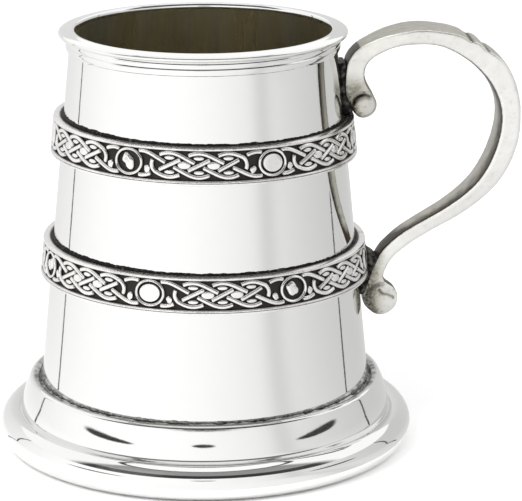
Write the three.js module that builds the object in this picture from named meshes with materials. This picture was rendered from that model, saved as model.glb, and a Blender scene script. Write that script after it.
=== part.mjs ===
// One-pint pewter tankard: a tapered open drum on a spun, hollow foot, with a turned
// lip, two knotwork bands bent round the drum and a cast scroll handle soldered on.
// Units are millimetres and +Z is up. The tankard stands on z = 0 and the handle points
// along +X. The origin is the middle of the whole object's footprint, so the drum's own
// axis stands at x = AXIS_X.
import * as THREE from 'three';

// ---------- driving dimensions ----------
const SEGMENTS = 72;            // facets in a full turn
const GAP = 0.3;                // clearance kept between pieces that touch

const HEIGHT = 121;             // foot to lip
const FOOT_RADIUS = 59.6;
const HANDLE_REACH = 89.7;      // drum axis to the handle's outermost point
const AXIS_X = (FOOT_RADIUS - HANDLE_REACH) / 2;

const WALL_RADIUS_AT_BASE = 49.06;   // outer face of the drum, extended down to z = 0
const WALL_TAPER = 0.0972;           // radius lost for each millimetre of height
const WALL_THICKNESS = 1.2;
const DRUM_BOTTOM = 13.2;            // the drum runs down inside the foot

const FLOOR_TOP = 15;                // gives one imperial pint to the brim
const FLOOR_THICKNESS = 1.5;

const LIP_RADIUS = 40.8;
const LIP_BOTTOM = 115.1;
const LIP_CAP = 1.3;                 // how far the lip covers the drum's top edge

const FOOT_TOP = 19.5;
const FOOT_SHELL = 1.4;
const FLANGE_ROUND = 5.4;            // radius of the flange's rounded edge
const COLLAR_ROUND = 1.5;            // radius of the collar's shoulder

const BAND_HEIGHT = 10.4;
const BAND_THICKNESS = 2.9;
const BAND_EDGE = 0.45;              // rounding of a band's outer edges
const UPPER_BAND_BOTTOM = 85.75;
const LOWER_BAND_BOTTOM = 50.3;
const BAND_BUTT_GAP = 0.4;           // between the strip's two ends, behind the handle

const STRAP_WIDTH = 14.4;            // handle, across Y, at its widest
const UPPER_END = { width: 9.5, x: 43, fullAt: 58 };   // narrows inwards, between two X
const LOWER_END = { width: 8.8, z: 56, fullAt: 84 };   // narrows downwards, between two Z
const STRAP_EDGE = 0.6;              // rounding of the strap's long edges
const STRAP_SPREAD = 0.3;            // how far the rounded edges stand outside the outline
const LOWER_KNOB = { x: 51.1, z: 40.8, radius: 4.4, narrowest: 0.55 };
const UPPER_KNOB = { x: 45.3, z: 98.4, radius: 3.35, narrowest: 0.8 };

// ---------- materials ----------
const pewter = (color, roughness, metalness = 1) =>
  new THREE.MeshStandardMaterial({ color, roughness, metalness });
const POLISHED = pewter(0xd9dadb, 0.12);
const INNER = pewter(0x8d8a7c, 0.28);
const RELIEF = pewter(0x9c9b98, 0.35);
const CAST = pewter(0xbdbdb8, 0.32);
const SOLDER = pewter(0x4a4642, 0.55);

// ---------- helpers ----------
const wallRadius = (z) => WALL_RADIUS_AT_BASE - WALL_TAPER * z;

const tankard = new THREE.Group();
tankard.name = 'pewter_tankard';

function addPiece(name, geometry, material) {
  const piece = new THREE.Mesh(geometry, material);
  piece.name = name;
  piece.position.x = AXIS_X;
  tankard.add(piece);
}

// A full ring or disc from [radius, height] points listed anticlockwise round the section.
function turned(section) {
  const points = section.map(([r, z]) => new THREE.Vector2(r, z));
  points.push(points[0].clone());
  const geometry = new THREE.LatheGeometry(points, SEGMENTS);
  return geometry.rotateX(Math.PI / 2);
}

// Part of a ring, from angle `start` through `sweep` (radians from +X), with flat ends.
function turnedSector(section, start, sweep) {
  const steps = Math.max(2, Math.round((sweep / (2 * Math.PI)) * SEGMENTS));
  const count = section.length;
  const vertices = [];
  for (let i = 0; i <= steps; i += 1) {
    const angle = start + (sweep * i) / steps;
    for (const [r, z] of section) vertices.push(r * Math.cos(angle), r * Math.sin(angle), z);
  }
  const faces = [];
  for (let i = 0; i < steps; i += 1) {
    for (let k = 0; k < count; k += 1) {
      const a = i * count + k;
      const b = i * count + ((k + 1) % count);
      faces.push(a, a + count, b + count, a, b + count, b);
    }
  }
  const outline = section.map(([r, z]) => new THREE.Vector2(r, z));
  const last = steps * count;
  for (const [a, b, c] of THREE.ShapeUtils.triangulateShape(outline, [])) {
    faces.push(a, b, c, last + a, last + c, last + b);
  }
  const geometry = new THREE.BufferGeometry();
  geometry.setAttribute('position', new THREE.Float32BufferAttribute(vertices, 3));
  geometry.setIndex(faces);
  return geometry;
}

// Points of an arc from one angle to another, in degrees, as [radius, height] pairs.
function arc([centreR, centreZ], radius, fromDegrees, toDegrees, steps) {
  const points = [];
  for (let i = 0; i <= steps; i += 1) {
    const angle = THREE.MathUtils.degToRad(
      THREE.MathUtils.lerp(fromDegrees, toDegrees, i / steps),
    );
    points.push([centreR + radius * Math.cos(angle), centreZ + radius * Math.sin(angle)]);
  }
  return points;
}

// Points along a smooth curve through the given [radius, height] points.
function smooth(points, steps) {
  const curve = new THREE.SplineCurve(points.map(([r, z]) => new THREE.Vector2(r, z)));
  return curve.getSpacedPoints(steps).map(({ x, y }) => [x, y]);
}

// ---------- drum: a plain tapered tube ----------
function drumWall() {
  const top = HEIGHT - LIP_CAP - GAP;
  return turned([
    [wallRadius(DRUM_BOTTOM) - WALL_THICKNESS, DRUM_BOTTOM],
    [wallRadius(DRUM_BOTTOM), DRUM_BOTTOM],
    [wallRadius(top), top],
    [wallRadius(top) - WALL_THICKNESS, top],
  ]);
}

// ---------- floor: a disc let into the drum's lower end ----------
function cupFloor() {
  const bottom = FLOOR_TOP - FLOOR_THICKNESS;
  const radius = wallRadius(FLOOR_TOP) - WALL_THICKNESS - GAP;
  return turned([
    [0, bottom],
    [radius, bottom],
    [radius, FLOOR_TOP],
    [0, FLOOR_TOP],
  ]);
}

// ---------- lip: a turned moulding that caps the drum's top edge ----------
function lipMoulding() {
  const inner = wallRadius(HEIGHT) - WALL_THICKNESS;
  const underCap = HEIGHT - LIP_CAP;
  const skirt = wallRadius(LIP_BOTTOM) + GAP;
  return turned([
    [skirt, LIP_BOTTOM],
    [skirt + 0.35, LIP_BOTTOM],
    [LIP_RADIUS - 2.1, 117.3],
    [LIP_RADIUS - 1.9, 118.3],
    [LIP_RADIUS - 0.6, 119],
    [LIP_RADIUS, 119.8],
    [LIP_RADIUS - 0.6, 120.5],
    [LIP_RADIUS - 3.4, HEIGHT],
    [inner + 0.5, HEIGHT],
    [inner, HEIGHT - 0.6],
    [inner, underCap],
    [wallRadius(underCap) + GAP, underCap],
  ]);
}

// ---------- foot: a spun shell, a flaring collar above and a rounded flange below ----------
function footMoulding() {
  const neck = wallRadius(FOOT_TOP) + GAP;
  const flangeCentre = [FOOT_RADIUS - FLANGE_ROUND, FLANGE_ROUND];
  const outside = [
    [neck, FOOT_TOP - 0.7],
    [48.1, FOOT_TOP - 0.3],
    ...arc([49.3, 18.3], COLLAR_ROUND, 110, 20, 4),
    [51.7, 16.4],
    [52.5, 14],
    [53.1, 11.4],
    [53.2, 9.6],
    [54, 10],
    [55.2, 10.25],
    ...arc(flangeCentre, FLANGE_ROUND, 60, -75, 9),
    [55.2, 0],
  ].reverse();
  const inside = [
    [neck, FOOT_TOP - 1.7],
    [48.9, FOOT_TOP - 1.5],
    [49.4, 17.8],
    [50.3, 15.9],
    [51.1, 13.6],
    [51.7, 11.2],
    [51.8, 8.2],
    [54, 8.7],
    ...arc(flangeCentre, FLANGE_ROUND - FOOT_SHELL, 65, -50, 5),
    [54.2, FOOT_SHELL],
    [52.4, FOOT_SHELL],
    [52.4, 0],
  ];
  return turned([...outside, ...inside]);
}

// ---------- solder bead in the groove where the drum passes into the foot ----------
function footSolder() {
  const wall = wallRadius(FOOT_TOP) + GAP;
  return turned([
    [wall, FOOT_TOP],
    [wall + 0.5, FOOT_TOP + 0.2],
    [wall + 0.4, FOOT_TOP + 0.6],
    [wall - 0.05, FOOT_TOP + 0.85],
  ]);
}

// ---------- bands: strips bent round the drum, butted behind the handle ----------
function band(bottom) {
  const top = bottom + BAND_HEIGHT;
  const face = (z) => wallRadius(z) + BAND_THICKNESS;
  const back = (z) => wallRadius(z) + GAP;
  const section = [
    [back(bottom), bottom],
    [face(bottom) - BAND_EDGE, bottom],
    [face(bottom), bottom + BAND_EDGE],
    [face(top), top - BAND_EDGE],
    [face(top) - BAND_EDGE, top],
    [back(top), top],
  ];
  const halfGap = BAND_BUTT_GAP / 2 / face(bottom);
  return turnedSector(section, halfGap, 2 * Math.PI - 2 * halfGap);
}

// ---------- handle: a cast strap in the XZ plane with a scroll at each end ----------
const HANDLE_BACK_UPPER = [[42.4, 96.9], [41.6, 98.8], [40.6, 101.2], [40.2, 104], [40.6, 110.4]];
const HANDLE_BACK_LOWER = [[46.1, 39], [46.1, 43], [46.9, 45.4], [48.2, 49.6], [49.8, 53.3]];

function handleOutline() {
  const outerFace = smooth([
    [41, 111.5], [43.2, 114.3], [46.4, 116.3], [52.1, 118.7], [60.4, 120.2], [68.6, 119.4],
    [73.3, 118], [74.5, 116.8], [76.4, 116.7], [78.1, 115.7], [79.2, 114.2], [80.8, 113.6],
    [83.8, 111.3], [86.5, 107.6], [88.7, 101.4], [HANDLE_REACH - STRAP_SPREAD, 94],
    [88.3, 86.1], [84.8, 78.1], [80.3, 72.5], [73.2, 66.8], [64.6, 61.8], [57.6, 57.3],
    [52.8, 52.8], [50.4, 47.5],
  ], 72);
  const lowerScroll = arc([LOWER_KNOB.x, LOWER_KNOB.z], LOWER_KNOB.radius, 82, -148, 14);
  const innerFace = smooth([
    [50.9, 55.3], [55.7, 59.7], [61.4, 63.4], [67.1, 66.7], [72.9, 71], [77.4, 75.4],
    [81.6, 83.2], [84.8, 90.4], [85.3, 97.6], [82.6, 104.6], [77.8, 110.1], [72, 114.2],
    [66.3, 116.3], [60.6, 116.8], [54.9, 116.3], [49.3, 114], [45.7, 111], [44.7, 107.3],
    [45.6, 104.2], [47.3, 101.3],
  ], 54);
  const upperScroll = arc([UPPER_KNOB.x, UPPER_KNOB.z], UPPER_KNOB.radius, 40, -126, 10);
  return [
    ...outerFace,
    ...lowerScroll,
    ...smooth(HANDLE_BACK_LOWER, 6),
    ...innerFace,
    ...upperScroll,
    ...smooth(HANDLE_BACK_UPPER, 6).slice(1),
  ];
}

// The strap narrows towards both ends, and each scroll's knob narrows towards its tip.
function strapWidth(x, z) {
  const { lerp, smoothstep } = THREE.MathUtils;
  let width = lerp(LOWER_END.width, STRAP_WIDTH, smoothstep(z, LOWER_END.z, LOWER_END.fullAt));
  if (z > LOWER_END.fullAt) {
    width = lerp(UPPER_END.width, STRAP_WIDTH, smoothstep(x, UPPER_END.x, UPPER_END.fullAt));
  }
  for (const knob of [LOWER_KNOB, UPPER_KNOB]) {
    if (Math.hypot(x - knob.x, z - knob.z) < knob.radius + 1) {
      const out = smoothstep(x, knob.x - knob.radius / 2, knob.x + knob.radius);
      width *= lerp(1, knob.narrowest, out);
    }
  }
  return width;
}

function handle() {
  const shape = new THREE.Shape(handleOutline().map(([x, z]) => new THREE.Vector2(x, z)));
  const geometry = new THREE.ExtrudeGeometry(shape, {
    depth: STRAP_WIDTH - 2 * STRAP_EDGE,
    bevelThickness: STRAP_EDGE,
    bevelSize: STRAP_EDGE,
    bevelOffset: STRAP_SPREAD - STRAP_EDGE,
    bevelSegments: 2,
    steps: 1,
  });
  geometry.translate(0, 0, STRAP_EDGE - STRAP_WIDTH / 2);
  geometry.rotateX(Math.PI / 2);
  const place = geometry.attributes.position;
  for (let i = 0; i < place.count; i += 1) {
    const share = strapWidth(place.getX(i), place.getZ(i)) / STRAP_WIDTH;
    place.setY(i, place.getY(i) * share);
  }
  return geometry;
}

// ---------- solder beds between the handle's two ends and the body ----------
function solderBed(section, width) {
  const halfAngle = width / 2 / section[0][0];
  return turnedSector(section, -halfAngle, 2 * halfAngle);
}

function handleUpperSolder() {
  const back = HANDLE_BACK_UPPER.map(([r, z]) => [r - STRAP_SPREAD - GAP, z]);
  const bottom = UPPER_BAND_BOTTOM + BAND_HEIGHT + GAP;
  return solderBed([
    [wallRadius(bottom) + GAP, bottom],
    [41.8, bottom],
    ...back,
    [wallRadius(110.4) + GAP, 110.4],
  ], UPPER_END.width - 0.6);
}

function handleLowerSolder() {
  const bandFace = (z) => wallRadius(z) + BAND_THICKNESS + GAP;
  const underBand = LOWER_BAND_BOTTOM - GAP;
  const bottom = HANDLE_BACK_LOWER[1][1];
  return solderBed([
    [wallRadius(bottom) + GAP, bottom],
    ...HANDLE_BACK_LOWER.slice(1).map(([r, z]) => [r - STRAP_SPREAD - GAP, z]),
    [bandFace(55), 55],
    [bandFace(underBand) + 0.1, underBand],
    [wallRadius(underBand) + GAP, underBand],
  ], LOWER_END.width - 0.6);
}

// ---------- assembly ----------
addPiece('drum_wall', drumWall(), POLISHED);
addPiece('cup_floor', cupFloor(), INNER);
addPiece('lip_moulding', lipMoulding(), POLISHED);
addPiece('foot_moulding', footMoulding(), POLISHED);
addPiece('foot_solder', footSolder(), SOLDER);
addPiece('upper_band', band(UPPER_BAND_BOTTOM), RELIEF);
addPiece('lower_band', band(LOWER_BAND_BOTTOM), RELIEF);
addPiece('handle', handle(), CAST);
addPiece('handle_upper_solder', handleUpperSolder(), SOLDER);
addPiece('handle_lower_solder', handleLowerSolder(), SOLDER);

export default tankard;
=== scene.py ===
"""Pewter tankard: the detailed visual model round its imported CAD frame.

Row frame, +Z up, handle along +X. Sizes are in millimetres about the drum's own axis and
become metres when a piece is made.
"""

import math

import bmesh
import bpy
import numpy as np
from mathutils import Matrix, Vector, noise


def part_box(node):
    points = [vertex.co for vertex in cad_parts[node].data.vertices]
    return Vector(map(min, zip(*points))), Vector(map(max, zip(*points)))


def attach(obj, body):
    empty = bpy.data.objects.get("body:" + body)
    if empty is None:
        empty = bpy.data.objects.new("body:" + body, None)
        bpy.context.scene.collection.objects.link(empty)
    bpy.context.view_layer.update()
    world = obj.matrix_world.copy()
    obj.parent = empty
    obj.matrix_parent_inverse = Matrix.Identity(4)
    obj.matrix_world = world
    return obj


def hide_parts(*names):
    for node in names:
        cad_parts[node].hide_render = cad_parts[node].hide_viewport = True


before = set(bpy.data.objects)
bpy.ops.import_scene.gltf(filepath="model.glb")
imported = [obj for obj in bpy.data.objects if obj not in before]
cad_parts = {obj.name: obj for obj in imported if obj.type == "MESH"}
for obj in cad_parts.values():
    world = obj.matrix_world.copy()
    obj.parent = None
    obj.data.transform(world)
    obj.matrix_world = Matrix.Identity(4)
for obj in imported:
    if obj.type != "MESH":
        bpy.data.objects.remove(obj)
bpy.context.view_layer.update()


# ---------- places, from the CAD frame ----------
MM = 0.001


def heights(node):
    """Lowest and highest point of a CAD node, in millimetres."""
    low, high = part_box(node)
    return low.z / MM, high.z / MM


def axis_of(node):
    """The middle of a CAD node in plan, in metres."""
    low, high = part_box(node)
    return np.array([(low.x + high.x) / 2, (low.y + high.y) / 2, 0])


AXIS = axis_of("drum_wall")
LIP_BOTTOM, HEIGHT = heights("lip_moulding")
FOOT_RADIUS = (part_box("foot_moulding")[1].x - AXIS[0]) / MM
DRUM_BOTTOM = heights("drum_wall")[0]
FLOOR_BOTTOM, FLOOR_TOP = heights("cup_floor")
SOLDER_BOTTOM = heights("foot_solder")[0]
HANDLE_END = (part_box("handle")[1].x - AXIS[0]) / MM

# ---------- sizes ----------
WALL_RADIUS_AT_BASE, WALL_TAPER, WALL_THICKNESS = 49.06, 0.0972, 1.2
WALL_UNDER_LIP = 1.3                # the wall ends this far below the top
WALL_WAVER, WALL_WAVER_WIDTH = 0.02, 26.0       # unevenness left by hand finishing
INNER_RIPPLE, INNER_RIPPLE_WIDTH = 0.10, 4.5    # the unpolished inside of the rolled wall
INNER_RIPPLE_SQUASH = 0.06          # heights count this much, so that the ripple runs up and down
TURN_STEPS, FOOT_TURN_STEPS = 360, 720
FINE_STEP = 0.15                    # along the small curves of the lip, foot and handle
PINHOLE = 0.02                      # radius of the hole a turned disc leaves in its middle
FLOOR_DISH = 0.45                   # the disc's face lies this far under its edge
LIP_CAP = 1.6                       # the lip's solid top, which the wall's edge runs into
NECK_HEIGHT = 18.8                  # where the foot meets the wall
FLANGE_ROUND, FLANGE_HOLLOW = 5.4, 4.0          # radii of the flange's outer and inner curve
BEAD_STEPS, BEAD_SIDES, BEAD_SINK = 1080, 10, 0.1
BEAD_SQUASH = 0.75                  # a bead's thickness out of the wall against its height

BAND_EDGE, RIM_TOP, RIM_BOTTOM = 5.2, 4.4, -3.9         # up and down from a band's middle
RECESS_DEPTH, BAND_THICKNESS = 0.95, 2.9
BAND_DROOP, DROOP_TOWARDS = 0.45, math.radians(-4.5)    # the strips sit a little lower on one side
STRIP_STEPS = 700
STRIP_END, PATTERN_END = 0.2, 0.4   # how far the strip and its pattern stop short of the butt joint
# each band: a boss medallion's angle from the handle in degrees, and the medallions' spacing
UPPER_PATTERN, LOWER_PATTERN = (238.0, 41.1), (196.6, 41.5)
PATTERN_RISE = 0.4                  # the pattern's middle row above the strip's
CELL = 8.15                         # from one crossing in the middle row to the next
KNOT_SHIFT = 0.35                   # the plait lies this far before the middle of its field
STRAND_REACH, STRAND_STEP = 3.3, 0.3            # a strand's highest run, and its mesh's step
STRAND_HALF_WIDTH, STRAND_TOP, STRAND_CENTRE = 0.66, 0.93, 0.25
RING_HALF, RING_HALF_WIDTH = (3.95, 3.4), 0.46  # a medallion's ring: half its size, half its strand
UNDER_STRAND, UNDER_RING = 1.25, 1.0            # how deep a strand dips under each
DOME_SKIRT = 0.6                    # how far a mound's edge goes on down into the strip


def wall_radius(z):
    """The wall's outer radius at a height."""
    return WALL_RADIUS_AT_BASE - WALL_TAPER * z


def smoothstep(low, high, x):
    """0 below low, 1 above high and smooth between."""
    t = np.clip((np.asarray(x, float) - low) / (high - low), 0, 1)
    return t * t * (3 - 2 * t)


def rough(points, scale, seed=0.0):
    """Smooth random values from -1 to 1 at points in millimetres; scale is the grain's size."""
    return np.array([noise.noise(Vector(p) / scale + Vector((seed, seed, seed))) for p in points])


def plan_radius(points):
    return np.hypot(points[:, 0], points[:, 1])


# ---------- mesh helpers ----------
def piece(name, points, faces, materials, stands_for=(), patina_and_shade=None, sharp=35, index=None):
    """A shown piece from points in millimetres about the drum's axis.

    patina_and_shade is each point's darkening from 0 to 1, tarnish and in places painted shade, and
    index each face's material.
    """
    mesh = bpy.data.meshes.new(name)
    corners = [list(map(int, f)) for f in faces]
    mesh.from_pydata((np.asarray(points) * MM + AXIS).tolist(), [], corners)
    solid = bmesh.new()
    solid.from_mesh(mesh)
    bmesh.ops.recalc_face_normals(solid, faces=solid.faces)
    solid.to_mesh(mesh)
    solid.free()
    if patina_and_shade is not None:
        layer = mesh.attributes.new("patina_and_shade", "FLOAT", "POINT")
        layer.data.foreach_set("value", np.clip(patina_and_shade, 0, 1).astype(np.float32))
    for material in materials:
        mesh.materials.append(material)
    if index is not None:
        mesh.polygons.foreach_set("material_index", np.asarray(index, np.int32))
    mesh.shade_smooth()
    mesh.set_sharp_from_angle(angle=math.radians(sharp))
    obj = bpy.data.objects.new(name, mesh)
    bpy.context.scene.collection.objects.link(obj)
    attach(obj, "root")
    if stands_for:
        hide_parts(*stands_for)
    return obj


def skin(rows, around, along=False, caps=True):
    """Quads over a grid of points.

    around closes each row on itself, along joins the last row to the first, and caps closes the ends.
    """
    count, width = rows.shape[:2]
    ids = np.arange(count * width).reshape(count, width)
    nxt = np.roll(ids, -1, 0) if along else ids[1:]
    here = ids if along else ids[:-1]
    if around:
        a, b, c, d = here, np.roll(here, -1, 1), np.roll(nxt, -1, 1), nxt
    else:
        a, b, c, d = here[:, :-1], here[:, 1:], nxt[:, 1:], nxt[:, :-1]
    faces = np.stack([a, b, c, d], -1).reshape(-1, 4).tolist()
    if caps and around and not along:
        faces += [ids[0].tolist(), ids[-1].tolist()]
    return rows.reshape(-1, 3), faces


def gather(parts):
    """Joins (points, faces, patina_and_shade) parts into one."""
    points, faces, patina_and_shade, start = [], [], [], 0
    for p, f, a in parts:
        points.append(p)
        patina_and_shade.append(a)
        faces += [[i + start for i in face] for face in f]
        start += len(p)
    return np.concatenate(points), faces, np.concatenate(patina_and_shade)


def spline(points, step, closed=False):
    """Points every step millimetres along a smooth curve through the given ones."""
    p = np.asarray(points, float)
    if closed:
        p = np.vstack([p[-1], p, p[0], p[1]])
    else:
        p = np.vstack([2 * p[0] - p[1], p, 2 * p[-1] - p[-2]])
    t = np.linspace(0, 1, 16, endpoint=False)[:, None]
    dense = [                           # Catmull-Rom
        0.5 * (2 * b + (c - a) * t + (2 * a - 5 * b + 4 * c - d) * t**2
               + (3 * b - a - 3 * c + d) * t**3)
        for a, b, c, d in zip(p, p[1:], p[2:], p[3:])
    ]
    dense = np.vstack(dense + [p[-2][None]])
    run = np.concatenate([[0], np.cumsum(np.linalg.norm(np.diff(dense, axis=0), axis=1))])
    count = max(2, round(run[-1] / step))
    at = np.linspace(0, run[-1], count + 1)
    if closed:
        at = at[:-1]
    return np.stack([np.interp(at, run, dense[:, k]) for k in range(dense.shape[1])], -1)


def arc(centre, radius, start, end, steps):
    """Points on a circle between two angles in degrees."""
    a = np.radians(np.linspace(start, end, steps + 1))
    return np.stack([centre[0] + radius * np.cos(a), centre[1] + radius * np.sin(a)], -1)


def turned(section, steps=TURN_STEPS):
    """A full turn of a closed section of [radius, height] points."""
    section = np.asarray(section, float)
    a = np.linspace(0, 2 * np.pi, steps, endpoint=False)
    r, z = section[:, 0], section[:, 1]
    x, y = np.outer(np.cos(a), r), np.outer(np.sin(a), r)
    return skin(np.stack([x, y, np.tile(z, (steps, 1))], -1), around=True, along=True)


def evenly(start, end, step):
    """Values from start to end at even steps."""
    return np.linspace(start, end, max(2, round(abs(start - end) / step)) + 1)


def headings(path, closed):
    """The direction of a flat path at each of its points, not to unit length."""
    ahead = np.roll(path, -1, 0) - np.roll(path, 1, 0)
    if not closed:
        ahead[0], ahead[-1] = path[1] - path[0], path[-1] - path[-2]
    return ahead


def eased(values):
    """A closed line of values or points with its corners softened a little."""
    return (np.roll(values, 1, 0) + 2 * values + np.roll(values, -1, 0)) / 4


# ---------- materials ----------
def pewter(name, clean, dark, clean_rough, dark_rough, grain, grain_size, mottle, middle=None,
           mottle_size=4.0, stretch=(1, 1, 1), scratch=(1, 1, 1), contrast=1.0):
    """Metal that goes from clean to dark with the mesh's patina_and_shade, tarnish and in places
    painted shade, with a fine cast or worked grain.

    mottle adds uneven tarnish, in streaks along the axes that stretch scales down, and scratch does
    the same for the grain. middle is the half tarnished colour, where it isn't halfway. Sizes are
    in millimetres.
    """
    material = bpy.data.materials.new(name)
    material.use_nodes = True
    nodes, links = material.node_tree.nodes, material.node_tree.links
    shader = nodes["Principled BSDF"]
    shader.inputs["Metallic"].default_value = 1.0

    place = nodes.new("ShaderNodeTexCoord")

    def cloud(size_mm, detail, scale):
        scaled = nodes.new("ShaderNodeMapping")
        scaled.inputs["Scale"].default_value = scale
        links.new(place.outputs["Object"], scaled.inputs["Vector"])
        node = nodes.new("ShaderNodeTexNoise")
        node.inputs["Scale"].default_value = 1 / (size_mm * MM)
        node.inputs["Detail"].default_value = detail
        links.new(scaled.outputs["Vector"], node.inputs["Vector"])
        return node.outputs["Fac"]

    age = nodes.new("ShaderNodeAttribute")
    age.attribute_name = "patina_and_shade"
    uneven = nodes.new("ShaderNodeMapRange")
    uneven.inputs["From Min"].default_value = 0.5 - 0.5 / contrast
    uneven.inputs["From Max"].default_value = 0.5 + 0.5 / contrast
    uneven.inputs["To Max"].default_value = mottle
    links.new(cloud(mottle_size, 4, stretch), uneven.inputs["Value"])
    worn = nodes.new("ShaderNodeMath")
    worn.operation = "ADD"
    worn.use_clamp = True
    links.new(uneven.outputs["Result"], worn.inputs[0])
    links.new(age.outputs["Fac"], worn.inputs[1])

    tone = nodes.new("ShaderNodeValToRGB")
    tone.color_ramp.elements[0].color = (*clean, 1)
    tone.color_ramp.elements[1].color = (*dark, 1)
    if middle is not None:
        tone.color_ramp.elements.new(0.5).color = (*middle, 1)
    links.new(worn.outputs["Value"], tone.inputs["Fac"])
    links.new(tone.outputs["Color"], shader.inputs["Base Color"])

    gloss = nodes.new("ShaderNodeMapRange")
    gloss.inputs["To Min"].default_value = clean_rough
    gloss.inputs["To Max"].default_value = dark_rough
    links.new(worn.outputs["Value"], gloss.inputs["Value"])
    links.new(gloss.outputs["Result"], shader.inputs["Roughness"])

    bump = nodes.new("ShaderNodeBump")
    bump.inputs["Strength"].default_value = 1.0
    bump.inputs["Distance"].default_value = grain * MM
    links.new(cloud(grain_size, 6, scratch), bump.inputs["Height"])
    links.new(bump.outputs["Normal"], shader.inputs["Normal"])
    return material


POLISHED = pewter("polished_pewter", (0.80, 0.80, 0.79), (0.05, 0.048, 0.042), 0.05, 0.55,
                  grain=0.004, grain_size=1.6, mottle=0.03)
INNER = pewter("inner_pewter", (0.86, 0.78, 0.55), (0.30, 0.29, 0.23), 0.22, 0.4,
               grain=0.025, grain_size=0.3, mottle=1.0, mottle_size=11.0, contrast=3.0,
               stretch=(1, 1, 0.05), scratch=(0.05, 0.05, 1))
BOTTOM = pewter("floor_pewter", (0.74, 0.69, 0.55), (0.36, 0.34, 0.28), 0.26, 0.42,
                grain=0.02, grain_size=0.5, mottle=0.45, mottle_size=5.0)
RELIEF = pewter("antiqued_pewter", (0.86, 0.85, 0.83), (0.042, 0.038, 0.034), 0.14, 0.6,
                grain=0.05, grain_size=0.5, mottle=0.10)
CAST = pewter("cast_pewter", (0.89, 0.885, 0.865), (0.05, 0.042, 0.028), 0.3, 0.42,
              grain=0.08, grain_size=0.5, mottle=0.12, middle=(0.49, 0.475, 0.415))
SOLDER = pewter("solder", (0.30, 0.29, 0.27), (0.015, 0.014, 0.013), 0.4, 0.6,
                grain=0.12, grain_size=0.7, mottle=0.25)


# ---------- drum ----------
def inside_wall(points):
    """Which points lie nearer the wall's inner face than its outer one."""
    return plan_radius(points) < wall_radius(points[:, 2]) - WALL_THICKNESS / 2


def drum():
    """The rolled wall, polished outside and left rippled and dull inside."""
    outer = evenly(HEIGHT - WALL_UNDER_LIP, DRUM_BOTTOM, 3.0)
    section = [(wall_radius(z), z) for z in outer]
    section += [(wall_radius(z) - WALL_THICKNESS, z) for z in outer[::-1]]
    points, faces = turned(section)
    radius, hollow = plan_radius(points), inside_wall(points)
    waver = rough(points, WALL_WAVER_WIDTH) * WALL_WAVER
    points[:, :2] *= (1 + waver / radius)[:, None]
    streaks = points * [1, 1, INNER_RIPPLE_SQUASH]
    ripple = rough(streaks, INNER_RIPPLE_WIDTH, seed=4.0) * INNER_RIPPLE * hollow
    points[:, :2] *= (1 + ripple / radius)[:, None]
    inside = inside_wall(points[np.array(faces)].mean(1))
    piece("drum", points, faces, [POLISHED, INNER], ["drum_wall"], index=inside)


def floor_disc():
    edge = wall_radius(FLOOR_TOP) - WALL_THICKNESS
    section = [(PINHOLE, FLOOR_BOTTOM), (edge, FLOOR_BOTTOM), (edge, FLOOR_TOP),
               (edge - 1.2, FLOOR_TOP - 0.25)]
    section += [(r, FLOOR_TOP - FLOOR_DISH) for r in evenly(edge - 3, PINHOLE, 4)]
    points, faces = turned(section)
    piece("bottom", points, faces, [BOTTOM], ["cup_floor"])


# ---------- lip and foot, as sections of [radius, height] points ----------
def lip():
    inner, outer = wall_radius(HEIGHT) - WALL_THICKNESS, wall_radius(LIP_BOTTOM)
    profile = [[outer - 0.4, LIP_BOTTOM], [outer + 0.6, LIP_BOTTOM]]
    # two fine rolls
    for roll in (
        [[outer + 0.66, 115.3], [38.72, 115.8], [38.8, 116.5], [38.7, 116.85]],
        [[38.62, 117.0], [38.82, 117.4], [38.9, 118.0], [38.72, 118.6]],
    ):
        profile += list(spline(roll, FINE_STEP))
    # the flare and its rounded top
    profile += list(spline([
        [38.9, 118.8], [39.7, 118.95], [40.45, 119.3], [40.8, 119.85], [40.55, 120.4],
        [39.6, 120.65], [38, 120.85], [36.9, 121], [36.35, 120.85], [inner, 120.2],
    ], 0.2))
    # the inside, round the wall's edge
    cap = HEIGHT - LIP_CAP
    profile += [[inner, cap], [inner + 0.6, cap], [inner + 0.6, LIP_BOTTOM + 1]]
    points, faces = turned(profile)
    piece("lip", points, faces, [POLISHED], ["lip_moulding"], sharp=50)


def foot():
    flange = (FOOT_RADIUS - FLANGE_ROUND, FLANGE_ROUND)
    neck = wall_radius(NECK_HEIGHT) - 0.2
    # the ledge under the solder, and the collar
    outside = [[neck, 18.6], [47.7, 18.85]]
    outside += list(spline([
        [47.9, 18.95], [48.3, 19.35], [49.0, 19.68], [49.9, 19.66], [50.55, 19.35], [50.9, 18.7],
        [51.6, 17.0], [52.35, 14.9], [52.85, 13.2], [53.15, 11.8], [53.3, 10.8], [53.3, 10],
    ], 0.25))
    # the step down to the flange, and its round
    step = [[53.35, 9.65], [53.55, 9.6], [53.8, 9.78], [54.4, 10.1], [55.2, 10.3]]
    outside += list(spline(step, FINE_STEP))
    outside += list(arc(flange, FLANGE_ROUND, 66, -75, 47))
    outside += [[55.2, 0.0], [52.4, 0.0]]
    inside = [[52.4, 1.4], [54.2, 1.4]]
    inside += list(arc(flange, FLANGE_HOLLOW, -50, 65, 16))
    inside += [[54, 8.7], [51.8, 8.2], [51.7, 11.2], [51.1, 13.6], [50.3, 15.9], [49.4, 17.8],
               [48.9, 18.1], [neck, 17.8]]
    points, faces = turned(outside + inside, FOOT_TURN_STEPS)
    ledge = (1 - smoothstep(49.2, 50.2, plan_radius(points))) * (points[:, 2] > 18.4)
    patina_and_shade = ledge * (0.55 + 0.5 * rough(points, 2.0))
    piece("foot", points, faces, [POLISHED], ["foot_moulding"], patina_and_shade, sharp=50)


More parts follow.
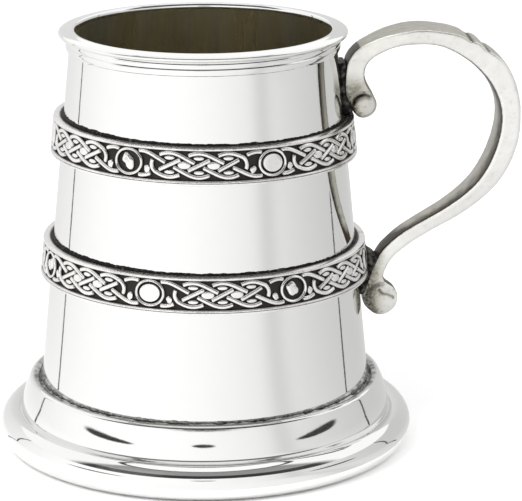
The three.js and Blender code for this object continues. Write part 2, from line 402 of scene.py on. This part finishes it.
def bead(name, z, size, lumpiness, patina_and_shade, stands_for=(), thick_side=0.0, tilt=0.0):
    """A rough ring of solder against the wall.

    thick_side adds to it on the side away from the handle. A tilt of 1 follows the bands' droop.
    """
    a = np.linspace(0, 2 * np.pi, BEAD_STEPS, endpoint=False)
    z = z + tilt * droop(a)
    ring = np.linspace(0, 2 * np.pi, BEAD_SIDES, endpoint=False)
    # lumps of about 2.6 mm with finer ones on them
    spots = [Vector((math.cos(t) * 42, math.sin(t) * 42, z[0])) for t in a]
    lump = np.array([noise.noise(p / 2.6) + 0.6 * noise.noise(p / 0.9) for p in spots])
    grown = size * (1 + lumpiness * np.clip(lump, -0.5, 1))
    grown = grown + thick_side * smoothstep(0.2, 0.9, -np.cos(a))
    r = (wall_radius(z) - BEAD_SINK)[:, None] + BEAD_SQUASH * grown[:, None] * np.cos(ring)
    height = z[:, None] + grown[:, None] * np.sin(ring)
    rows = np.stack([r * np.cos(a)[:, None], r * np.sin(a)[:, None], height], -1)
    points, faces = skin(rows, around=True, along=True)
    patina_and_shade = patina_and_shade + 0.6 * rough(points, 0.9)
    piece(name, points, faces, [SOLDER], stands_for, patina_and_shade, sharp=70)


# ---------- knotwork bands ----------
def droop(angle):
    """How far a band's edge lies above its level place, by angle from the handle."""
    return -BAND_DROOP * np.cos(angle - DROOP_TOWARDS)


class Band:
    """A strip's place round the drum and the spacing of its pattern."""

    def __init__(self, node, first, pitch):
        low, high = heights(node)
        self.middle = (low + high) / 2
        self.radius = wall_radius(self.middle) + BAND_THICKNESS
        self.length = 2 * np.pi * self.radius
        self.first = math.radians(first) * self.radius
        self.pitch = pitch
        self.knot_start = pitch / 2 - KNOT_SHIFT - CELL

    def place(self, u, v, h):
        """Points from strip coordinates: u round from the handle, v up, h out of the recess."""
        angle = u / self.radius
        z = self.middle + v + droop(angle)
        r = wall_radius(z) + BAND_THICKNESS - RECESS_DEPTH + h
        return np.stack([r * np.cos(angle), r * np.sin(angle), z], -1)


def rise(u, start):
    """How far a strand of the plait stands above the middle line, rising through it at start."""
    phase = np.pi * (u - start) / (2 * CELL)
    return STRAND_REACH * (0.94 * np.sin(phase) - 0.06 * np.sin(3 * phase))


def strand_paths(band):
    """The two strands that run from medallion to medallion, and the closed one between them."""
    start, middle = band.knot_start, band.knot_start + CELL
    run = np.arange(1.8, band.pitch - 1.75, STRAND_STEP)
    across = np.stack([run, -rise(run, start)], -1)
    reach = 1.5 * CELL
    span = np.linspace(middle - reach, middle + reach, 42)
    over = np.stack([span, rise(span, start - CELL)], -1)
    turn = [[middle + reach + 0.75, -1.2], [middle + reach + 1.05, 0], [middle + reach + 0.75, 1.2]]
    back = ([2 * middle, 0] - np.array(turn))[::-1]
    loop = np.vstack([over, turn, over[::-1] * [1, -1], back])
    return [(across, False), (across * [1, -1], False), (spline(loop, STRAND_STEP, closed=True), True)]


def crossings(band):
    """Where strands cross: on the middle line and, v away from 0, in the rows above and below it."""
    middle = [(band.knot_start + i * CELL, 0.0) for i in range(3)]
    outer = [(band.knot_start + (i - 0.5) * CELL, s * 2.2) for i in range(4) for s in (-1, 1)]
    return middle + outer


def strand_heights(band, path, closed):
    """Rise and fall of a strand's centre, over and under the others and under the medallions."""
    ahead = headings(path, closed)
    rising = ahead[:, 0] * ahead[:, 1] > 0
    height = np.full(len(path), STRAND_CENTRE)
    for u, v in crossings(band):
        away = np.hypot(path[:, 0] - u, path[:, 1] - v)
        under = ~rising if v == 0 else rising
        height -= np.where(under, UNDER_STRAND, 0) * (1 - smoothstep(0.8, 1.4, away))
    for u in (0, band.pitch):
        away = np.hypot((path[:, 0] - u) / RING_HALF[0], path[:, 1] / RING_HALF[1])
        height -= UNDER_RING * (1 - smoothstep(1.1, 1.28, away))
    return height


def on_strip(band, low, high):
    """Whether u from low to high keeps clear of the strip's two ends."""
    return (low > PATTERN_END) & (high < band.length - PATTERN_END)


def rope(band, path, height, closed, start, half_width=STRAND_HALF_WIDTH, top=STRAND_TOP):
    """A rounded strand laid along a path in strip coordinates, cut off at the strip's ends."""
    ahead = headings(path, closed)
    ahead /= np.linalg.norm(ahead, axis=1)[:, None]
    side = np.stack([-ahead[:, 1], ahead[:, 0]], -1)
    t = np.linspace(0, 2 * np.pi, 12, endpoint=False)
    across, up = half_width * np.cos(t), (top - STRAND_CENTRE) * np.sin(t)
    u = start + path[:, :1] + side[:, :1] * across
    v = PATTERN_RISE + path[:, 1:] + side[:, 1:] * across
    h = height[:, None] + up
    inside = on_strip(band, u, u).all(1)
    if inside.all():
        runs = [(slice(None), closed)]
    else:
        edges = np.flatnonzero(np.diff(np.concatenate([[0], inside.astype(int), [0]])))
        runs = [(slice(a, b), False) for a, b in zip(edges[::2], edges[1::2]) if b - a > 2]
    parts = []
    for cut, joined in runs:
        points, faces = skin(band.place(u[cut], v[cut], h[cut]), around=True, along=joined)
        parts.append((points, faces, 1 - smoothstep(0.35, 0.85, h[cut].ravel())))
    return parts


def dome(band, u, v, half, base, top, flat=2.0, rings=7, seed=0.0, uneven=0.0):
    """A low oval mound. A higher flat gives it a flatter top."""
    if not on_strip(band, u - half[0], u + half[0]):
        return []
    t = np.linspace(0, 2 * np.pi, 28, endpoint=False)
    s = np.linspace(0.02, 1, rings)[:, None]
    wobble = 1 + uneven * np.array([noise.noise(Vector((math.cos(x), math.sin(x), seed))) for x in t])
    du = half[0] * s * np.cos(t) * wobble
    dv = half[1] * s * np.sin(t) * wobble
    h = base + (top - base) * (1 - s**flat) ** (1 / flat) + 0 * du
    # a skirt carries the edge down into the strip
    du, dv, h = (np.concatenate([x, x[-1:]]) for x in (du, dv, h))
    h[-1] -= DOME_SKIRT
    points, faces = skin(band.place(u + du, v + PATTERN_RISE + dv, h), around=True)
    return [(points, faces, 1 - smoothstep(0.2, 0.62, h.ravel()))]


def strip(band):
    """The plain strip under the pattern: two rims, the recess between them and a flat back."""
    back, face = RECESS_DEPTH - BAND_THICKNESS, RECESS_DEPTH
    # up from the middle, out of the recess, and how dark
    section = np.array([
        (-BAND_EDGE, back, 0.9), (-BAND_EDGE, -0.4, 0.5), (-BAND_EDGE, face - 0.35, 0.15),
        (-BAND_EDGE + 0.1, face - 0.1, 0.0), (-BAND_EDGE + 0.35, face, 0.0),
        (RIM_BOTTOM - 0.68, face, 0.05), (RIM_BOTTOM - 0.58, face - 0.22, 0.75),
        (RIM_BOTTOM - 0.48, face, 0.05), (RIM_BOTTOM - 0.15, face, 0.05),
        (RIM_BOTTOM, face - 0.12, 0.3), (RIM_BOTTOM + 0.12, 0.3, 0.9), (RIM_BOTTOM + 0.3, 0.02, 1),
        *[(v, 0.0, 1.0) for v in np.linspace(RIM_BOTTOM + 0.6, RIM_TOP - 0.6, 20)],
        (RIM_TOP - 0.3, 0.02, 1), (RIM_TOP - 0.12, 0.3, 0.9), (RIM_TOP, face - 0.12, 0.3),
        (RIM_TOP + 0.15, face, 0.05), (BAND_EDGE - 0.3, face, 0.0),
        (BAND_EDGE - 0.08, face - 0.1, 0.0), (BAND_EDGE, face - 0.35, 0.05),
        (BAND_EDGE, -0.3, 0.1), (BAND_EDGE, back + 1.3, 0.25), (BAND_EDGE, back + 0.95, 0.9),
        (BAND_EDGE, back, 1.0),
    ])
    u = np.linspace(STRIP_END, band.length - STRIP_END, STRIP_STEPS)
    v, h, dark = (np.tile(section[:, k], (len(u), 1)) for k in range(3))
    grain = np.array([
        [noise.noise(Vector((a / 0.8, b / 0.8, band.middle))) for b in section[:, 0]] for a in u
    ])
    h = h + np.where(dark > 0.6, 0.07, 0.03) * grain * (h > back + 0.01)
    points, faces = skin(band.place(np.tile(u[:, None], (1, len(section))), v, h), around=True)
    return [(points, faces, dark.ravel())]


def medallion(band, start, boss):
    """A ring with a lumpy boss or a flat button in it."""
    t = np.linspace(0, 2 * np.pi, 90, endpoint=False)
    ring = np.stack([RING_HALF[0] * np.cos(t), RING_HALF[1] * np.sin(t)], -1)
    height = np.full(len(ring), STRAND_CENTRE)
    parts = rope(band, ring, height, True, start, RING_HALF_WIDTH, STRAND_TOP + 0.05)
    if boss:
        return parts + dome(band, start - 0.1, -0.1, (2.0, 2.1), 0.0, 0.95,
                            flat=2.4, rings=11, seed=start, uneven=0.55)
    return parts + dome(band, start, 0, (3.3, 2.75), 0.1, 0.88, flat=6.0, rings=9)


def pillows(band, start):
    """Low mounds that fill the plait's open cells."""
    parts = []
    knot = start + band.knot_start
    for i in (0.5, 1.5):
        parts += dome(band, knot + i * CELL, 0, (2.0, 1.15), 0.25, 0.76, flat=3.0)
    for i in range(3):
        for s in (-1, 1):
            parts += dome(band, knot + i * CELL, 1.95 * s, (1.6, 0.6), 0.25, 0.74, flat=3.0)
    for u in (start + 5.6, start + band.pitch - 5.9):
        parts += dome(band, u, -1.5, (0.95, 1.1), 0.2, 0.7, flat=3.0, seed=u, uneven=0.4)
    return parts


def knot_band(name, node, pattern):
    """A cast strip with its whole pattern: medallions, filled cells and interlaced strands."""
    band = Band(node, *pattern)
    parts = strip(band)
    paths = [(p, strand_heights(band, p, c), c) for p, c in strand_paths(band)]
    count = math.ceil(band.length / band.pitch) + 1
    for k in range(-count, count):           # all that lies past the strip's ends is left out
        start = band.first + k * band.pitch
        parts += medallion(band, start, boss=k % 2 == 0)
        parts += pillows(band, start)
        for path, height, closed in paths:
            parts += rope(band, path, height, closed, start)
    points, faces, patina_and_shade = gather(parts)
    patina_and_shade = patina_and_shade + 0.12 * rough(points, 0.9) * (patina_and_shade < 0.9)
    piece(name, points, faces, [RELIEF], [node], patina_and_shade, sharp=40)


# ---------- handle and its solder ----------
def recast(mesh, voxel, passes):
    """A closed mesh made again with fine, even faces, and then smoothed in passes.

    Gives points in millimetres about the drum's axis, their normals and the faces. The mesh given
    is removed.
    """
    work = bpy.data.objects.new("work", mesh)
    bpy.context.scene.collection.objects.link(work)
    weld = work.modifiers.new("weld", "WELD")
    weld.merge_threshold = 1e-6
    remesh = work.modifiers.new("remesh", "REMESH")
    remesh.mode = "VOXEL"
    remesh.voxel_size = voxel * MM
    soften = work.modifiers.new("soften", "SMOOTH")
    soften.factor, soften.iterations = 0.5, passes
    graph = bpy.context.evaluated_depsgraph_get()
    made = bpy.data.meshes.new_from_object(work.evaluated_get(graph))
    bpy.data.objects.remove(work)
    bpy.data.meshes.remove(mesh)
    read = []
    for kind in ("co", "normal"):
        values = np.zeros(len(made.vertices) * 3, np.float32)
        made.vertices.foreach_get(kind, values)
        read.append(values.reshape(-1, 3).astype(float))
    faces = [list(p.vertices) for p in made.polygons]
    bpy.data.meshes.remove(made)
    return (read[0] - AXIS) / MM, read[1], faces


def from_line(points, line):
    """Distance in the XZ plane from each point to a smooth line through [x, z] points."""
    line = spline(line, FINE_STEP)
    return np.min(np.hypot(points[:, 0, None] - line[:, 0], points[:, 2, None] - line[:, 1]), 1)


# places on the handle are [x, z] points, and the balls of its two scrolls have a radius too
KNOBS = UPPER_KNOB, LOWER_KNOB = (45.3, 98.4, 3.35), (51.1, 40.8, 4.4)
UPPER_CREASE = arc(UPPER_KNOB[:2], 3.1, 60, 170, 8)         # where the upper ball meets the strap
LOWER_CREASE = [[50.3, 43.7], [51.3, 42.5], [52.8, 42.0], [54.5, 41.0]]     # a slit in the lower ball
CREASE_DEPTH, CREASE_WIDTH = 0.7, 0.42
STRAP_WIDTH, UPPER_END_WIDTH, LOWER_END_WIDTH = 14.4, 9.5, 8.8
STRAP_MIDDLE_HEIGHT = 84            # the upper end's narrowing begins above this, the lower end's below
STRAP_SPREAD, STRAP_EDGE = 0.4, 0.6             # the strap stands this far out, and rounds its edges
INNER_CROWN, OUTER_CROWN = 0.4, 0.15            # how far its two faces bulge between the edges
STRAP_STEP, STRAP_VOXEL, SOLDER_VOXEL, SMOOTH_PASSES = 0.5, 0.33, 0.35, 3
# the strap's back, where it lies on the solder
UPPER_BACK = [[42.4, 96.9], [41.6, 98.8], [40.6, 101.2], [40.2, 104], [40.6, 110.4]]
LOWER_BACK = [[46.1, 39], [46.1, 43], [46.9, 45.4], [48.2, 49.6], [49.8, 53.3]]
NOTCHES, NOTCH_WIDTH, NOTCH_DEPTH = [(75.4, 117.0), (80.0, 114.0)], 0.55, 0.6   # cuts by a file
LOOP_MIDDLE = (62, 88)              # the handle's inner face is the one that looks towards this


def strap_outline():
    """The strap from the side with a scroll at each end, as in the CAD, and each point's bulge."""
    outer = spline([
        [41, 111.5], [43.2, 114.3], [46.4, 116.3], [52.1, 118.7], [60.4, 120.2], [68.6, 119.4],
        [73.3, 118], [74.5, 116.8], [76.4, 116.7], [78.1, 115.7], [79.2, 114.2], [80.8, 113.6],
        [83.8, 111.3], [86.5, 107.6], [88.7, 101.4], [89.4, 94], [88.3, 86.1], [84.8, 78.1],
        [80.3, 72.5], [73.2, 66.8], [64.6, 61.8], [57.6, 57.3], [52.8, 52.8], [50.4, 47.5],
    ], STRAP_STEP)
    inner = spline([
        [50.9, 55.3], [55.7, 59.7], [61.4, 63.4], [67.1, 66.7], [72.9, 70.7], [78.0, 75.6],
        [81.9, 82.2], [84.3, 89.8], [84.6, 97.2], [82.0, 104.2], [77.4, 109.8], [71.8, 113.9],
        [66.3, 116.3], [60.6, 116.8], [54.9, 116.3], [49.3, 114], [45.7, 111], [44.7, 107.3],
        [45.6, 104.2], [47.3, 101.3],
    ], STRAP_STEP)
    parts = [
        (outer, OUTER_CROWN),
        (arc(LOWER_KNOB[:2], LOWER_KNOB[2], 82, -148, 40), 0),
        (spline(LOWER_BACK, STRAP_STEP), 0),
        (inner, INNER_CROWN),
        (arc(UPPER_KNOB[:2], UPPER_KNOB[2], 40, -126, 30), 0),
        (spline(UPPER_BACK, STRAP_STEP), 0),
    ]
    bulge = [np.full(len(line), crown) for line, crown in parts]
    return np.vstack([line for line, crown in parts]), np.concatenate(bulge)


def strap_half_width(x, z):
    """The strap narrows towards both ends, and each scroll's ball towards its tip."""
    lower = LOWER_END_WIDTH + (STRAP_WIDTH - LOWER_END_WIDTH) * smoothstep(56, STRAP_MIDDLE_HEIGHT, z)
    upper = UPPER_END_WIDTH + (STRAP_WIDTH - UPPER_END_WIDTH) * smoothstep(43, 58, x)
    width = np.where(z > STRAP_MIDDLE_HEIGHT, upper, lower)
    for (kx, kz, radius), narrowest in ((LOWER_KNOB, 0.55), (UPPER_KNOB, 0.8)):
        out = smoothstep(kx - radius / 2, kx + radius, x) * (np.hypot(x - kx, z - kz) < radius + 1)
        width = width * (1 - (1 - narrowest) * out)
    return width / 2


def strap_mesh():
    """The strap at one width all along, with rounded edges and bulging faces."""
    outline, bulge = strap_outline()
    for _ in range(6):
        outline, bulge = eased(outline), eased(bulge)
    ahead = np.roll(outline, -1, 0) - np.roll(outline, 1, 0)
    out = np.stack([-ahead[:, 1], ahead[:, 0]], -1) / np.linalg.norm(ahead, axis=1)[:, None]
    # half the rows across: share of the half width, a step in from it, and how far the face stands out
    turn = np.radians(np.linspace(0, 90, 5))
    half = [
        (1, -STRAP_EDGE * (1 - math.sin(t)), STRAP_SPREAD - STRAP_EDGE * (1 - math.cos(t)))
        for t in turn[::-1]
    ]
    half += [(share, 0, STRAP_SPREAD) for share in np.linspace(0.8, 0, 8)]
    rows = []
    for share, inset, stand in half + [(-s, -i, d) for s, i, d in half[-2::-1]]:
        lift = stand + bulge * (1 - share**2)
        place = outline + out * lift[:, None]
        y = np.full(len(outline), STRAP_WIDTH / 2 * share + inset)
        rows.append(np.stack([place[:, 0], y, place[:, 1]], -1))
    points, faces = skin(np.array(rows), around=True)
    mesh = bpy.data.meshes.new("strap")
    mesh.from_pydata((points * MM + AXIS).tolist(), [], faces)
    return mesh


def dot(x, z, place, size, power=2):
    """1 at a place in the handle's side view, falling to 0 about size away."""
    return np.exp(-((np.hypot(x - place[0], z - place[1]) / size) ** power))


def handle():
    points, normal, faces = recast(strap_mesh(), STRAP_VOXEL, SMOOTH_PASSES)
    x, z = points[:, 0], points[:, 2]
    across = points[:, 1] / (STRAP_WIDTH / 2)
    points[:, 1] = across * strap_half_width(x, z)
    for kx, kz, radius in KNOBS:             # rounds the balls' ends
        away = np.hypot(x - kx, z - kz) / (radius + 0.6)
        near = (away < 1.35) & (np.abs(z - kz) < radius + 0.8)
        points[:, 1] *= np.where(near, 1 - 0.34 * np.clip(away, 0, 1) ** 3, 1)

    # relief: creases, lumps, pits and notches
    sides = np.abs(normal[:, 1]) > 0.5
    crease = np.minimum(from_line(points, UPPER_CREASE), from_line(points, LOWER_CREASE))
    cut = np.exp(-((crease / CREASE_WIDTH) ** 2)) * sides
    points -= normal * (CREASE_DEPTH * cut)[:, None]
    lumps = rough(points, 2.4, seed=5.0)
    pits = np.clip(rough(points, 0.95, seed=9.0) - 0.35, 0, 1)
    knobby = np.maximum(*[dot(x, z, (kx, kz), radius + 1.5, 4) for kx, kz, radius in KNOBS])
    inward = -(normal[:, 0] * (x - LOOP_MIDDLE[0]) + normal[:, 2] * (z - LOOP_MIDDLE[1]))
    inner = smoothstep(0, 14, inward)
    notch = np.max([dot(x, z, place, NOTCH_WIDTH) for place in NOTCHES], 0) * ~sides
    depth = 0.035 * lumps - (0.12 + 0.35 * knobby) * pits * (1 - 0.7 * sides) - NOTCH_DEPTH * notch
    points += normal * depth[:, None]
    points[:, 0] = np.minimum(points[:, 0], HANDLE_END)

    # tarnish: a little all over, with its pits and notches; painted shade in the creases and on the
    # inner and outer faces, with a painted stripe of reflection along the inner face; and darker
    # towards the drum at both joints
    dull = 0.12 * (1 - smoothstep(55, 90, x)) * (z > STRAP_MIDDLE_HEIGHT)
    # cut darkens the creases with painted shade; the rest here is tarnish
    patina_and_shade = 0.02 + dull + 0.05 * lumps + 0.6 * cut + 0.9 * pits * (0.3 + knobby)
    # painted shade and reflection across the inner face: lighter along a line a little off its middle,
    # darker towards its edges
    painted_inner_shading = smoothstep(0.15, 1.2, np.abs(across - 0.3) + 0.12 * lumps)
    # painted shade by facing: the faces other than the sides are darker, the inner face most; the sides
    # keep their tone
    patina_and_shade += np.where(sides, 0, 0.46 * (1 - inner) + (0.5 + 0.42 * painted_inner_shading) * inner)
    # the sides darker towards the drum near both joints, mottled; the other faces darker close to the
    # two joints
    near_drum = (1 - smoothstep(42.5, 49, x)) * (z > 90) * (1 - smoothstep(101, 109, z))
    near_drum = np.maximum(near_drum * (1 - 0.6 * knobby), (1 - smoothstep(47.5, 53, x)) * (z < 66))
    near_drum *= 0.9 + 0.2 * rough(points, 3.5, seed=8.0) + 0.35 * rough(points, 0.5, seed=3.0)
    upper_joint = (1 - smoothstep(43.2, 44.2, x)) * smoothstep(94, 98, z)
    lower_joint = (1 - smoothstep(47, 60, x)) * smoothstep(42, 45, z) * (1 - smoothstep(60, 66, z))
    joints = 0.9 * np.maximum(upper_joint, lower_joint)
    patina_and_shade += np.where(sides, 0.8 * near_drum, joints) + 0.8 * notch
    piece("handle_strap", points, faces, [CAST], ["handle"], patina_and_shade, sharp=60)


def solder(name, node):
    """A joint's solder bed, grown a little and made lumpy."""
    points, normal, faces = recast(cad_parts[node].data.copy(), SOLDER_VOXEL, SMOOTH_PASSES)
    points += normal * (0.5 + 0.3 * rough(points, 1.3, seed=2.0))[:, None]
    patina_and_shade = 0.75 + 0.4 * rough(points, 1.0)
    piece(name, points, faces, [SOLDER], [node], patina_and_shade, sharp=60)


# ---------- stage ----------
CAMERA_FROM_AXIS, CAMERA_TILT, CAMERA_TURN = (-46.5, -798.05, 279.13), 74.382, -4.5
LENS, SENSOR = 199.13, 36.0
GROUND_HALF, AIM_HEIGHT = 4.0, 0.05             # in metres: the floor's half width, and the lights' aim
WORLD_STRENGTH = 0.95
# the tent's sizes are in millimetres. Its bearings are in degrees, and 0 is against the camera's view
TENT_RADIUS, TENT_STEP = 600.0, 2.0
SKIRT_START, SKIRT_LIFT = 64.0, 0.4             # the tent's floor begins clear of the foot
SIDES_TOP, ROOF_EDGE, ROOF = 300.0, 540.0, 720.0
SIDE_GLOW, KEY_SWING, KEY_TOWARDS = 1.01, 0.30, -45.0       # brightest towards the key light
POLE_SHADE, POLE_BEARING, POLE_SPREAD = 0.17, 48.0, 8.0     # a pole's soft shadow on the sides
OPEN_GLOW, OPEN_HALF_ANGLE, OPEN_FADE = 0.05, 78.0, 8.0     # open in front, from the sides to the roof
ROOF_GLOW, BACK_GLOW = 0.35, 1.2                # the roof's front part, and all above the sides behind
PANEL_RADIUS, PANEL_FRAME, PANEL_GLOW = 300.0, 30.0, 1.25   # a round soft light in the roof
# joints between the tent's sheets: bearing, and how far beside the drum's axis each passes
JOINTS, JOINT_WIDTH, JOINT_INSET = ((-122.6, 39.7), (117.5, -39.7)), 16.0, 4
# dark openings: bearing, half width in degrees, lower and upper edge. The first is under the camera
OPENINGS, OPENING_INSET = ((0, 7.5, 148, 192), (-59, 19, 100, 148), (72, 17, 88, 140)), 8
OPENING_CORE = 0.8                  # how much of an opening's half width is fully dark


def camera():
    data = bpy.data.cameras.new("camera")
    data.lens, data.sensor_width = LENS, SENSOR
    obj = bpy.data.objects.new("camera", data)
    obj.location = Vector(CAMERA_FROM_AXIS) * MM + Vector(AXIS)
    obj.rotation_euler = (math.radians(CAMERA_TILT), 0, math.radians(CAMERA_TURN))
    bpy.context.scene.collection.objects.link(obj)
    bpy.context.scene.camera = obj


def plain(name, colour, roughness):
    material = bpy.data.materials.new(name)
    material.use_nodes = True
    shader = material.node_tree.nodes["Principled BSDF"]
    shader.inputs["Base Color"].default_value = (*colour, 1)
    shader.inputs["Roughness"].default_value = roughness
    return material


def staged(name, points, faces, material):
    """An object of the studio, from points in metres."""
    mesh = bpy.data.meshes.new(name)
    mesh.from_pydata([tuple(p) for p in points], [], faces)
    mesh.materials.append(material)
    obj = bpy.data.objects.new(name, mesh)
    bpy.context.scene.collection.objects.link(obj)
    return obj


def ground():
    half = GROUND_HALF
    corners = [(-half, -half, 0), (half, -half, 0), (half, half, 0), (-half, half, 0)]
    staged("ground", corners, [(0, 1, 2, 3)], plain("ground", (0.93, 0.93, 0.93), 0.7))


def compass(bearing):
    """Unit vectors in plan, ahead along a bearing from the drum and to its left."""
    a = math.radians(bearing + CAMERA_TURN)
    return np.array([math.sin(a), -math.cos(a)]), np.array([math.cos(a), math.sin(a)])


def glowing(name, points, faces, strength):
    """A soft light surface seen only in reflections, from points in millimetres.

    strength is its brightness, one value or one for each point.
    """
    material = bpy.data.materials.new(name)
    material.use_nodes = True
    nodes, links = material.node_tree.nodes, material.node_tree.links
    nodes.clear()
    value = nodes.new("ShaderNodeAttribute")
    value.attribute_name = "glow"
    lamp = nodes.new("ShaderNodeEmission")
    end = nodes.new("ShaderNodeOutputMaterial")
    links.new(value.outputs["Fac"], lamp.inputs["Strength"])
    links.new(lamp.outputs["Emission"], end.inputs["Surface"])
    obj = staged(name, points * MM + AXIS, faces, material)
    layer = obj.data.attributes.new("glow", "FLOAT", "POINT")
    layer.data.foreach_set("value", np.broadcast_to(strength, len(points)).astype(np.float32))
    obj.visible_camera = obj.visible_diffuse = obj.visible_shadow = obj.visible_transmission = False


def side_glow(bearing):
    """The brightness of the tent's sides."""
    facing_key = np.cos(np.radians(bearing - KEY_TOWARDS))
    pole = np.exp(-(((bearing - POLE_BEARING) / POLE_SPREAD) ** 2))
    return (SIDE_GLOW + KEY_SWING * facing_key) * (1 - POLE_SHADE * pole)


def tent():
    """A soft white tent round the tankard."""
    frame_edge = PANEL_RADIUS + PANEL_FRAME
    profile = [(SKIRT_START, SKIRT_LIFT), (TENT_RADIUS, SKIRT_LIFT)]
    profile += [(TENT_RADIUS, z) for z in (SIDES_TOP, SIDES_TOP + 10, ROOF_EDGE, ROOF_EDGE + 30)]
    roof_radii = (TENT_RADIUS, frame_edge + 5, frame_edge, PANEL_RADIUS, PANEL_RADIUS - 5, 1)
    profile += [(r, ROOF) for r in roof_radii]
    bearings = np.arange(-180.0, 180.0, TENT_STEP)
    rows = np.array([[(*(compass(b)[0] * r), z) for r, z in profile] for b in bearings])
    points, faces = skin(rows, around=False, along=True)
    bearing, z, radius = np.repeat(bearings, len(profile)), points[:, 2], plan_radius(points)
    front = 1 - smoothstep(OPEN_HALF_ANGLE - OPEN_FADE, OPEN_HALF_ANGLE + OPEN_FADE, np.abs(bearing))
    above = np.where(z > ROOF_EDGE, ROOF_GLOW, OPEN_GLOW) * front + BACK_GLOW * (1 - front)
    values = np.where(z > SIDES_TOP, above, side_glow(bearing))
    overhead = z > ROOF - 1
    values[overhead & (radius < frame_edge + 1)] = OPEN_GLOW
    values[overhead & (radius < PANEL_RADIUS - 1)] = PANEL_GLOW
    glowing("tent", points, faces, values)


def joint(name, bearing, beside):
    """A dark strip along the floor and up the tent's side."""
    ahead, left = compass(bearing)
    reach = math.sqrt(TENT_RADIUS**2 - beside**2) - JOINT_INSET
    path = [(SKIRT_START, 2 * SKIRT_LIFT), (reach, 2 * SKIRT_LIFT), (reach, SIDES_TOP)]
    rows = []
    for r, z in path:                        # it widens with distance
        edges = [beside + side * JOINT_WIDTH * r / TENT_RADIUS for side in (-0.5, 0.5)]
        rows.append([(*(ahead * r + left * edge), z) for edge in edges])
    glowing(name, *skin(np.array(rows), around=False), OPEN_GLOW)


def opening(name, bearing, half_angle, bottom, top):
    """A dark oval opening that fades into the tent's side at its edge."""
    t = np.linspace(0, 2 * np.pi, 32, endpoint=False)
    s = np.array([0.01, 0.5, OPENING_CORE, (OPENING_CORE + 1) / 2, 1])[:, None]
    at = bearing + half_angle * s * np.cos(t)
    z = (bottom + top) / 2 + (top - bottom) / 2 * s * np.sin(t)
    reach = TENT_RADIUS - OPENING_INSET
    rows = [[(*(compass(b)[0] * reach), h) for b, h in zip(*ring)] for ring in zip(at, z)]
    glow = OPEN_GLOW + (side_glow(at) - OPEN_GLOW) * smoothstep(OPENING_CORE, 1, s)
    glowing(name, *skin(np.array(rows), around=True, caps=False), glow.ravel())


def softbox(name, place, size, watts):
    """A square area light, with its place and size in metres."""
    data = bpy.data.lights.new(name, "AREA")
    data.shape, data.size, data.energy = "SQUARE", size, watts
    obj = bpy.data.objects.new(name, data)
    obj.location = place
    aim = Vector(AXIS) + Vector((0, 0, AIM_HEIGHT)) - Vector(place)
    obj.rotation_euler = aim.to_track_quat("-Z", "Y").to_euler()
    obj.visible_camera = False
    bpy.context.scene.collection.objects.link(obj)


def lights():
    world = bpy.data.worlds.new("world")
    world.use_nodes = True
    background = world.node_tree.nodes["Background"]
    background.inputs["Color"].default_value = (1, 1, 1, 1)
    background.inputs["Strength"].default_value = WORLD_STRENGTH
    bpy.context.scene.world = world
    softbox("key", (-0.9, -0.7, 1.1), size=0.9, watts=16)
    softbox("fill", (0.9, -0.5, 0.9), size=0.9, watts=7)
    bpy.context.scene.view_settings.view_transform = "Standard"


# ---------- assembly ----------
drum()
floor_disc()
lip()
foot()
bead("foot_bead", SOLDER_BOTTOM + 0.05, 0.42, lumpiness=0.9, patina_and_shade=0.35, stands_for=["foot_solder"])
# the solder line under the lip, a real joint, made dark also as painted shade for the gap under the
# lip's skirt
bead("lip_bead", LIP_BOTTOM - 0.14, 0.17, lumpiness=0.15, patina_and_shade=0.8)
for tier in ("upper", "lower"):
    low, high = heights(f"{tier}_band")
    bead(f"{tier}_band_bead", high, 0.55, lumpiness=0.5, patina_and_shade=1.0, thick_side=0.45, tilt=1)
    bead(f"{tier}_band_underbead", low, 0.3, lumpiness=1.2, patina_and_shade=0.5, tilt=1)
knot_band("upper_knot_band", "upper_band", UPPER_PATTERN)
knot_band("lower_knot_band", "lower_band", LOWER_PATTERN)
handle()
solder("upper_joint", "handle_upper_solder")
solder("lower_joint", "handle_lower_solder")

camera()
ground()
tent()
for number, place in enumerate(JOINTS, 1):
    joint(f"tent_joint_{number}", *place)
for number, place in enumerate(OPENINGS, 1):
    opening(f"tent_opening_{number}", *place)
lights()
